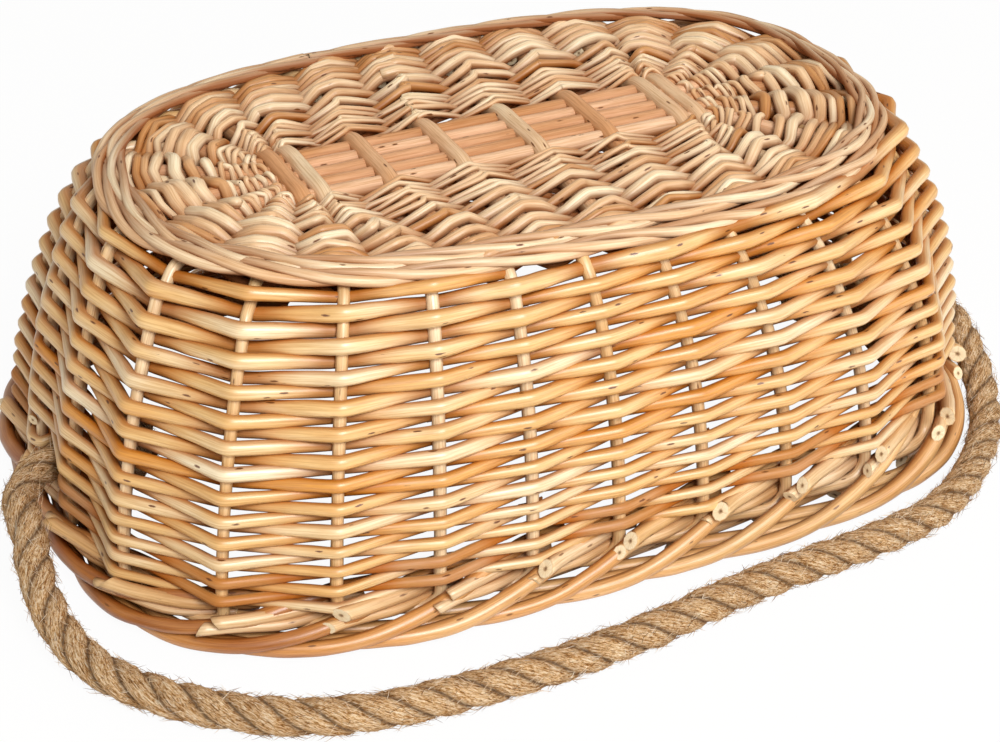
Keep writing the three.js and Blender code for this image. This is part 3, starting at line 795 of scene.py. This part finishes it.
# Stakes, each with its butt in the base and its end rolled into the border. A track gives how many
# bays its places lie beside the stake, how far out, and how high
KINK = [(0, 0, 17), (0.12, -0.2, 13.2), (0.55, -4, 12.5), (1, -8, 12), (1.6, -10.5, 10),
        (2.3, -11.5, 6.5), (2.9, -11.5, 4)]
SWEEP = [(-0.45, -9.5, 25), (0, -8, 24.5), (0.45, -1.5, 21.5), (0.85, 5, 17), (1.35, 9, 11.8),
         (1.85, 10.3, 7.4), (2.35, 8.5, 5), (2.85, 4.8, 4.4), (3.35, 1, 4.3), (3.85, -3.5, 4.2),
         (4.2, -7, 4.2)]
UPPER_STUB = [(-0.02, 11, 22.5), (-0.26, 5.5, 21.5), (-0.7, -2, 20.5), (-1.05, -8, 20), (-1.3, -10, 19.5)]
LOWER_STUB = [(0.1, 10.5, 17), (-0.14, 5.5, 16.5), (-0.55, 1.5, 15.5), (-1.1, -8, 14.5)]
STUBS = ((UPPER_STUB, 3.9), (LOWER_STUB, 3.3))
STAKE_TOPS = ((BASE_LEVEL - 0.3, -3.6), (BASE_LEVEL - 2.6, -0.8), (BASE_LEVEL - 7, 0.6))
STAKE_RADIUS, STAKE_OUT, KINK_TOP = 3.1, 0.8, 24
SWEEP_RADII = (4.3, 3.8)
BORDER_LIFTS = ((21, 10, 3.6), (4, 6, 4))
EDGE_SHIFTS = ((21.3, 1, 2), (14.7, -1.2, 1.2))


def along_border(index, track, lift=0.0, away=0.0):
    """A track's places beside a stake, the higher ones raised by lift."""
    steps, outs, heights = np.array(track, float).T
    heights = heights + lift * np.clip((heights - 6) / 12, 0, 1)
    return side_point(stake_share(index - steps), heights, outs + away)


def border_lift(index):
    """The border stands higher round two of the stakes."""
    return sum(rise * math.exp(-((index - stake) / width) ** 2) for stake, rise, width in BORDER_LIFTS)


def edge_shift(index):
    """The base's edge is drawn in and up at the front's left corner, and out and down at its right."""
    return sum(reach * np.exp(-((index - stake) / width) ** 2) for stake, reach, width in EDGE_SHIFTS)


def stake_line(index):
    spoke = SPOKES[index]
    share = stake_share(index)
    shift = edge_shift(index)
    lift = border_lift(index) * 0.6
    butt = spoke["edge"] - spoke["direction"] * BUTT_LENGTH
    points = [level(butt, BASE_LEVEL), level(spoke["edge"], BASE_LEVEL + 0.8)]
    for z, out in STAKE_TOPS:
        points.append(side_point(share, z, out + 3 * min(shift, 0)))
    for z in np.arange(BEND_START, KINK_TOP + lift, -12):
        points.append(side_point(share, z, STAKE_OUT))
    points += list(along_border(index, KINK, lift))
    return smooth_line(points, 3)


def rod_face(line, upward):
    """The way a rod is seen from: outward, and a little upward."""
    return unit(unit(line * (1, 1, 0)) + (0, 0, upward))


rng_stake = np.random.default_rng(11)
for index in range(STAKES):
    bundle = Bundle()
    line = stake_line(index)
    # Painted shade, deeper towards the floor where the stake's end runs in behind the border, and on its
    # sides turned from the view
    deep = np.clip((20 - line[:, 2]) / 20, 0, 0.5)
    bundle.rod(line, STAKE_RADIUS * rng_stake.uniform(0.95, 1.08), rng_stake, deep=deep,
               slants=(0.2, 1.2), face=rod_face(line, 0.6), crease_shade=0.3)
    lift = border_lift(index)
    line = smooth_line(along_border(index, SWEEP, lift, rng_stake.normal(0, 0.5)), 3.2)
    radius = np.linspace(*SWEEP_RADII, len(line)) * rng_stake.uniform(0.92, 1.04)
    # The sweeps are darker round the basket's left end and paler towards its right
    tint = float(np.clip(1.1 - abs(index - 13) * 0.11 + rng_stake.normal(0, 0.1), 0.05, 1))
    # Painted shade on the sweep's sides turned from the view
    bundle.rod(line, radius, rng_stake, slants=(0.2, 1.2), face=rod_face(line, 0.4), crease_shade=0.8,
               skin=2, tint=tint)
    for track, radius in STUBS:
        line = smooth_line(along_border(index, track, lift, rng_stake.normal(0, 0.4)), 3)
        line += (rng_stake.normal(0, 1.2, 3) * (1, 1, 0.8)) * np.linspace(1, 0, len(line))[:, None]
        # Painted shade deepens along each stub as it runs in behind the border, and on its sides turned
        # from the view
        bundle.rod(line, radius * rng_stake.uniform(0.85, 1.1), rng_stake, slants=(0.7, 0.2),
                   face=rod_face(line, 0.4), crease_shade=0.8, deep=np.linspace(0, 0.6, len(line)))
    name = f"stake_{index + 1:02d}"
    finish_piece(bundle, f"willow_{name}", [STAKE_WOOD, CUT, BORDER_WOOD], "basket", "stake", name)


# The base. A cross stick's halves part at its slit, by a lift at each place along it. Each row has a
# girth, and its strands' places aside. The rods of single rows are stouter at the base's two ends
LONG_RADIUS, CROSS_RADIUS = 4.8, 4.6
SLIT_STOPS = ((-SLIT_HALF - 4, 0.6), (-SLIT_HALF + 4, 3.3), (SLIT_HALF - 4, 3.3), (SLIT_HALF + 4, 0.6))
END_GIRTH, END_FROM, END_FADE = 0.24, 128, 20
ROW_GIRTH = [3.0, 3.0, 3.2, 4.7, 5.3, 5.8, 5.2, 4.2, 4.4]
ROW_ASIDES = [(-1.8, 1.8), (-1.8, 1.8), (-1.9, 1.9), (0,), (0,), (0,), (0,), (-2.2, 2.0), (-1.6, 2.2)]


def spoke_end(kind, number, low):
    for spoke in SPOKES:
        inner = spoke["inner"]
        if spoke["kind"] == kind and spoke["number"] == number:
            if (inner[1] < 0 if kind == "cross" else inner[0] < 0) == low:
                return spoke


def stick_tip(spoke):
    return spoke["outer"] - spoke["direction"] * STICK_TRIM


rng_base = np.random.default_rng(23)
for number in range(LONG_STICKS):
    left, right = spoke_end("long", number, True), spoke_end("long", number, False)
    plans = [stick_tip(left), left["inner"], right["inner"], stick_tip(right)]
    line = bent_line([level(plan, BASE_LEVEL) for plan in plans], 5, 4)
    bundle = Bundle()
    # Painted shade on each stick's sides turned from the top, where it meets its neighbours
    bundle.rod(line, LONG_RADIUS, rng_base, sides=14, lumps=0.03, slants=(0.15, 0.15), crease_shade=1.0)
    name = f"base_long_stick_{number + 1}"
    finish_piece(bundle, f"willow_{name}", [LONG_WOOD, CUT], "basket", "long_stick", name)

for number in range(CROSS_COUNT):
    front, back = spoke_end("cross", number, True), spoke_end("cross", number, False)
    x = CROSS_PLACES[number]
    bundle = Bundle()
    tint = float(rng_base.uniform(0, 1))
    for way in (1, -1):
        stops = [(stick_tip(front), 0), (front["inner"], 0)]
        stops += [((x, y), lift) for y, lift in SLIT_STOPS]
        stops += [(back["inner"], 0), (stick_tip(back), 0)]
        points = [level(plan, BASE_LEVEL + way * lift) for plan, lift in stops]
        line = bent_line(points, 2.5, 3)
        # Painted shade on the stick's sides turned from the top
        bundle.rod(line, CROSS_RADIUS, rng_base, frames=line_frames(line, (0, 0, 1)), sides=14, tint=tint,
                   lumps=0.02, slants=(0.15, 0.15))
    name = f"base_cross_stick_{number + 1}"
    finish_piece(bundle, f"willow_{name}", [CROSS_WOOD, CUT], "basket", "cross_stick", name)


def base_strand(row, phase, girth, aside):
    """One strand of a twined round: over every second spoke, and round its partner between."""
    points = []
    part = (row + 0.5) / BASE_ROWS
    sway_reach = girth * 0.35 + 0.9
    slant = girth * 0.16
    for step in range(STAKES + 1):
        index = (SEAM + step) % STAKES
        spoke = SPOKES[index]
        place, outward, around = on_spoke(spoke, part)
        next_place, next_outward, next_around = on_spoke(SPOKES[(index + 1) % STAKES], part)
        way = 1 if (step + phase) % 2 == 0 else -1
        half = (CROSS_STICK if spoke["kind"] == "cross" else LONG_STICK) / 2
        doubled = spoke["length"] * (1 - part) < BUTT_LENGTH + 6
        far = BUTT_SPACING + STAKE / 2 if doubled else half
        lift = (half + girth / 2 + 0.1) * way
        near_plan = place - around * 0.6 + outward * (aside + slant)
        far_plan = place + around * (far - half + 1.4) + outward * (aside - slant)
        fall = (1.7 if doubled else 0.5) * way
        points += [level(near_plan, BASE_LEVEL + lift), level(far_plan, BASE_LEVEL + lift - fall)]
        if step == STAKES:
            break
        middle = (place + around * far + next_place - next_around * half) / 2
        middle = middle + unit(outward + next_outward) * (aside - way * sway_reach)
        points.append(level(middle, BASE_LEVEL + girth * (0.12 - 0.28 * way)))
    return np.array(points)


def base_round(bundle, row, rng, girth, asides):
    for phase in (0, 1):
        for aside in asides:
            points = base_strand(row, phase, girth, aside)
            points += rng.normal(0, 1, points.shape) * (0.85, 0.85, 0.4)
            line = bent_line(points, 0.9, 2.6)
            # Painted shade where a strand lies low, under and between the spokes, and on its sides turned
            # from the top
            deep = np.clip(0.6 - (line[:, 2] - BASE_LEVEL) / 9, 0, 1)
            swell = 1 + 0.012 * (line[:, 2] - BASE_LEVEL)
            if len(asides) == 1:
                swell *= 1 + END_GIRTH * np.clip((np.abs(line[:, 0]) - END_FROM) / END_FADE, 0, 1)
            bundle.rod(line, girth / 2 * rng.uniform(0.88, 1.1) * swell, rng, deep=deep, sides=9,
                       lumps=0.07, crease_shade=0.8)


def base_piece(name, rows, nodes):
    bundle = Bundle()
    for row in rows:
        base_round(bundle, row, rng_base, ROW_GIRTH[row], ROW_ASIDES[row])
    finish_piece(bundle, name, [BASE_WOOD, CUT], "basket", "base_rod", *nodes)


base_piece("willow_base_pairing", range(FINE_ROWS), ["base_pairing_upper", "base_pairing_lower"])
base_piece("willow_base_weaver_1", range(FINE_ROWS, BASE_ROWS + 1, 2), ["base_weaver_1"])
base_piece("willow_base_weaver_2", range(FINE_ROWS + 1, BASE_ROWS + 1, 2), ["base_weaver_2"])


# Where on its turn each rod of the wale starts and ends, its radius and its shake
WALE_SHARES, WALE_RADIUS, WALE_SHAKE = (0.31, 1.34), 2.4, 0.35


def wale(name, node, out, z, sway, rise, follow, rng):
    """Three rods laid together round the base's edge, each out and in again once in three stakes."""
    bundle = Bundle()
    for start in range(3):
        share = start + np.linspace(*WALE_SHARES, 470)
        angle = 2 * math.pi * share * STAKES / 3
        swing = sway * np.sin(angle) + WALE_SHAKE * waves(share * edge_total, rng, 60)
        shift = edge_shift((share * STAKES) % STAKES - 0.5) * follow
        line = side_point(share, BEND_START, out + shift + swing)
        line[:, 2] = z - shift + rise * np.cos(angle) - 0.25 * swing
        away = line - side_point(share, BEND_START, out - 12)
        # Painted shade, deeper where each rod turns in behind the other two, and on its sides turned from
        # the view
        deep = 0.35 - 0.3 * np.sin(angle)
        size = WALE_RADIUS * np.linspace(1.08, 0.9, len(line)) * (1 + 0.08 * np.sin(angle))
        bundle.rod(line, size, rng, frames=line_frames(line, (0, 0, 1)), lumps=0.07, deep=deep,
                   face=unit(away), crease_shade=0.7, slants=(1.2, 2.0), tint=rng.uniform(0, 0.5), flat=0.9)
    finish_piece(bundle, name, [BASE_WOOD, CUT], "basket", "base_rod", node)


rng_wale = np.random.default_rng(31)
wale("willow_edge_wale_upper", "edge_wale_upper", -14.4, 170.4, 3.0, 1.2, 1.5, rng_wale)
wale("willow_edge_wale_lower", "edge_wale_lower", -7.2, 167.2, 2.6, 1.8, 3.2, rng_wale)


# The rope handle. Its run between its two ends is a given list, as in the part's source
TURN_START, TURN_RADIUS, TURN_DROP = 227.3, 36.5, 2.4
TURN_STOPS = [0, 15, 30, 45, 60, 75, 88]
ROPE_RUN = [
    (262.5, -53, 29), (259.5, -71, 24.5), (254, -90, 18.5), (245, -110, 12.5), (231, -131, 9.5),
    (213, -149, 9), (190, -167, 9), (164, -181, 9), (136, -188, 9), (104, -192, 9), (66, -195, 9),
    (28, -199.5, 9), (-10, -206, 9), (-48, -210.5, 9), (-88, -212, 9), (-126, -211, 9),
    (-162, -206.5, 9), (-194, -195, 9), (-220, -178, 9), (-241, -158, 9), (-257, -135, 9.3),
    (-265.5, -113, 12), (-269, -92, 17), (-268.5, -72, 23), (-265.5, -54, 28.5),
]


def rope_start(side):
    """The rope from its knot out through the wall, bending toward the front."""
    points = [(side * (KNOT_FACES[side] + CLEARANCE), 0, HANDLE_HEIGHT)]
    for angle in np.radians(TURN_STOPS):
        points.append((side * (TURN_START + TURN_RADIUS * math.sin(angle)),
                       TURN_RADIUS * (math.cos(angle) - 1),
                       HANDLE_HEIGHT - TURN_DROP * math.sin(angle) ** 2))
    return points


ROPE_LINE = smooth_line(rope_start(1) + ROPE_RUN + rope_start(-1)[::-1], 1.6)
ROPE_LAY, KNOT_LAY, KNOT_ROPE = 54, 50, 15.5
KNOT_MIDDLE, KNOT_SWING, KNOT_BULGE = 8.2, 6.2, 9.5
GROOVE_DEPTH, YARN_SLANT = 0.22, 0.45
FIBRE_POINTS, FIBRE_RADII = 13, np.array([0.14, 0.13, 0.11, 0.07])


def rope_skin(bundle, line, diameter, lay, sides, rng):
    """Three laid strands as one skin whose three lobes turn along the rope."""
    tangents, across, third = turning_frames(line)
    steps = distances(line)
    angles = np.linspace(0, 2 * math.pi, sides, endpoint=False)
    turn = 2 * math.pi * steps / lay
    local = (angles[None] - turn[:, None]) % (2 * math.pi / 3) - math.pi / 3
    edge = np.abs(local) / (math.pi / 3)
    depth = GROOVE_DEPTH + 0.04 * waves(steps, rng, 40)[:, None]
    reach = diameter / 2 * (1 - depth * edge ** 2.6)
    reach = reach * (1 + 0.02 * waves(steps, rng, 35)[:, None] + 0.022 * rng.normal(0, 1, reach.shape))
    places = line[:, None] + (reach * np.cos(angles))[..., None] * across[:, None]
    places = places + (reach * np.sin(angles))[..., None] * third[:, None]
    # Yarns slant across their strand, against the rope's own lay
    grain = np.stack([local * diameter * 0.5 + steps[:, None] * YARN_SLANT,
                      np.broadcast_to(steps[:, None], reach.shape),
                      ((angles[None] - turn[:, None]) // (2 * math.pi / 3)) * 37.0], -1)
    # Painted shade, deepest in the grooves between the strands
    bundle.tube(places, grain, tangents, 0.5, (edge ** 5).ravel(), 0)
    return places


def hairs(bundle, places, line, count, rng, length, lift, hair_reach):
    """Loose fibres that lie along the rope and stand off it a little, each a fine pointed tube."""
    rings, sides = places.shape[:2]
    ring = rng.integers(6, rings - 6, count)
    root = places[ring, rng.integers(0, sides, count)]
    outward = unit(root - line[ring])
    forward = unit(line[ring + 3] - line[ring - 3]) * rng.choice([-1, 1], count)[:, None]
    aside = np.cross(outward, forward)
    swerve = aside * rng.normal(0, 0.8, (count, 1))
    heading = unit(forward + swerve + outward * rng.uniform(0, 0.45, (count, 1)))
    reach = rng.uniform(0.4, 1.0, (count, 1, 1)) * length
    t = np.linspace(0, 1, 5)[None, :, None]
    curl = (outward * lift * rng.uniform(0.2, 1.0, (count, 1)))[:, None]
    bow = (aside * rng.normal(0, 1.0, (count, 1)))[:, None]
    turn = math.pi * rng.uniform(0.5, 1.1, (count, 1, 1))
    strand = (root - outward * 0.4)[:, None] + heading[:, None] * reach * t
    strand = strand + curl * np.sin(t * turn) + bow * t ** 2
    window = line[np.clip(ring[:, None] + np.arange(-8, 9), 0, rings - 1)]
    gaps = np.linalg.norm(strand[:, :, None] - window[:, None], axis=3)
    nearest = np.take_along_axis(window, gaps.argmin(2)[..., None], 1)
    away = strand - nearest
    far = np.linalg.norm(away, axis=2, keepdims=True)
    strand = nearest + away * np.minimum(1, hair_reach / np.maximum(far, 1e-9))
    strand[..., 2] = np.maximum(strand[..., 2], 0.3)
    along = unit(strand[:, -1] - strand[:, 0])
    first = unit(np.cross(along, outward))
    second = np.cross(along, first)
    for corner in range(3):
        angle = corner * 2 * math.pi / 3
        offset = first * math.cos(angle) + second * math.sin(angle)
        skin = strand[:, :4] + offset[:, None] * FIBRE_RADII[:, None]
        corners = skin if corner == 0 else np.concatenate([corners, skin], 1)
    points = np.concatenate([corners, strand[:, 4:]], 1)
    grain = np.broadcast_to(rng.uniform(-40, 40, (count, 1, 3)), points.shape)
    pale = np.repeat(rng.uniform(0, 1, count) ** 1.4, FIBRE_POINTS)
    start = bundle.add_points(points.reshape(-1, 3), grain.reshape(-1, 3), pale, 0.0, 0.0)
    first_numbers = start + FIBRE_POINTS * np.arange(count)[:, None]
    quads, tips = [], [[0, 4, 8]]
    for corner in range(3):
        here, there = 4 * corner, 4 * ((corner + 1) % 3)
        quads += [[here + i, here + i + 1, there + i + 1, there + i] for i in range(3)]
        tips.append([here + 3, FIBRE_POINTS - 1, there + 3])
    for faces in (quads, tips):
        bundle.add_faces((first_numbers[:, None] + np.array(faces)[None]).reshape(-1, len(faces[0])), 0)


def jute():
    """Jute: pale and dark yarns along each strand, painted shade in the grooves between them, and loose
    fibres.
    """
    material, make = new_material("jute")
    grain = attribute(make, "grain", "Vector")
    yarns = times(make, noise(make, grain, (1.1, 0.13, 1.0), 5.0, 0.8), 0.55)
    speckle = times(make, noise(make, grain, (2.4, 0.5, 1.0), 3.0, 0.8), 0.45)
    yarns = maths(make, "ADD", yarns, speckle)
    colour = ramp(make, yarns, [(0.39, (0.06, 0.018, 0.002)), (0.45, (0.38, 0.155, 0.028)),
                                (0.5, (0.74, 0.47, 0.22)), (0.58, (1.0, 0.88, 0.68))])
    patches = ramp(make, noise(make, grain, (0.12, 0.06, 1.0), 2.0),
                   [(0.3, (0.72, 0.6, 0.48)), (0.7, (1.14, 1.1, 1.04))])
    colour = mixed(make, 0.5, colour, patches, "MULTIPLY")
    # Painted shade: darker towards each groove between the strands
    groove_shade = times(make, attribute(make, "deep"), 0.8)
    colour = mixed(make, groove_shade, colour, (0.1, 0.032, 0.005))
    fibre = maths(make, "SUBTRACT", 1.0, attribute(make, "disc"))
    fibre_colour = ramp(make, attribute(make, "tint"), [
        (0.0, (0.14, 0.05, 0.01)), (0.35, (0.44, 0.23, 0.08)),
        (0.7, (0.8, 0.58, 0.36)), (1.0, (1.0, 0.9, 0.74)),
    ])
    colour = mixed(make, fibre, colour, fibre_colour)
    fine = noise(make, grain, (2.6, 0.3, 1.0), 3.0, 0.7)
    height = maths(make, "ADD", yarns, times(make, fine, 0.5))
    surface(make, colour, 0.92, (height, 1.0, 0.0016), **{
        "Specular IOR Level": 0.1, "Sheen Weight": 0.04, "Sheen Roughness": 0.6})
    return material


JUTE = jute()
rng_rope = np.random.default_rng(41)
bundle = Bundle()
skin = rope_skin(bundle, ROPE_LINE, ROPE * 0.95, ROPE_LAY, sides=48, rng=rng_rope)
hairs(bundle, skin, ROPE_LINE, 6500, rng_rope, length=9, lift=0.3, hair_reach=11.2)
hairs(bundle, skin, ROPE_LINE, 600, rng_rope, length=6, lift=1.0, hair_reach=12.4)
rope = finish_piece(bundle, "jute_rope_handle", [JUTE, JUTE], "handle", "rope", "rope_handle")


def knot_line(side):
    """The line of a tight overhand knot inside the basket's end."""
    t = np.linspace(0, 2 * math.pi * 0.93, 90)
    radius = KNOT_MIDDLE + KNOT_SWING * np.cos(3 * t)
    along = KNOT_LENGTH / 2 + KNOT_BULGE * np.sin(3 * t)
    x = side * (KNOT_FACES[side] - along)
    return np.column_stack([x, radius * np.cos(2 * t), HANDLE_HEIGHT + radius * np.sin(2 * t)])


for side, name in ((1, "rope_knot_right"), (-1, "rope_knot_left")):
    bundle = Bundle()
    line = knot_line(side)
    skin = rope_skin(bundle, line, KNOT_ROPE, KNOT_LAY, sides=30, rng=rng_rope)
    hairs(bundle, skin, line, 900, rng_rope, length=7, lift=0.8, hair_reach=11)
    finish_piece(bundle, f"jute_{name}", [JUTE, JUTE], "handle", "rope", name)

bpy.context.view_layer.update()
